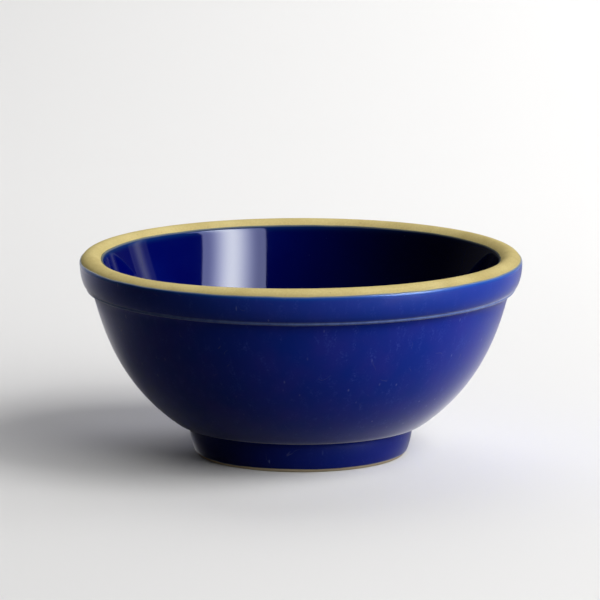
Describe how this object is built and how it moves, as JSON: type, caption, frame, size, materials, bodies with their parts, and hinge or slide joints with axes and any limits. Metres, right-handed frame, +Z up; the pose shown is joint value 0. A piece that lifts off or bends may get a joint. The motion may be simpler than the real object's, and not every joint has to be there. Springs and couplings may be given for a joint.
{
  "type": "cereal bowl",
  "caption": "Round stoneware cereal bowl with a rolled collar under a bare rounded lip, a deep curved wall, a raised foot ring, satin glaze outside and gloss glaze inside.",
  "frame": {"origin": "centre of the foot ring's base, on the surface that the bowl stands on", "axes": "+Z up along the bowl's axis, through its open mouth; X and Y lie across it and are alike"},
  "size_m": [0.15, 0.15, 0.0688],
  "materials": {
    "bare_clay": "bare buff stoneware, matt and finely grained",
    "satin_glaze": "satin cobalt blue glaze",
    "gloss_glaze": "glossy cobalt blue glaze"
  },
  "bodies": {
    "root": {"clay_body": "bare_clay", "outer_glaze": "satin_glaze", "inner_glaze": "gloss_glaze", "foot_well_glaze": "satin_glaze"}
  },
  "joints": []
}
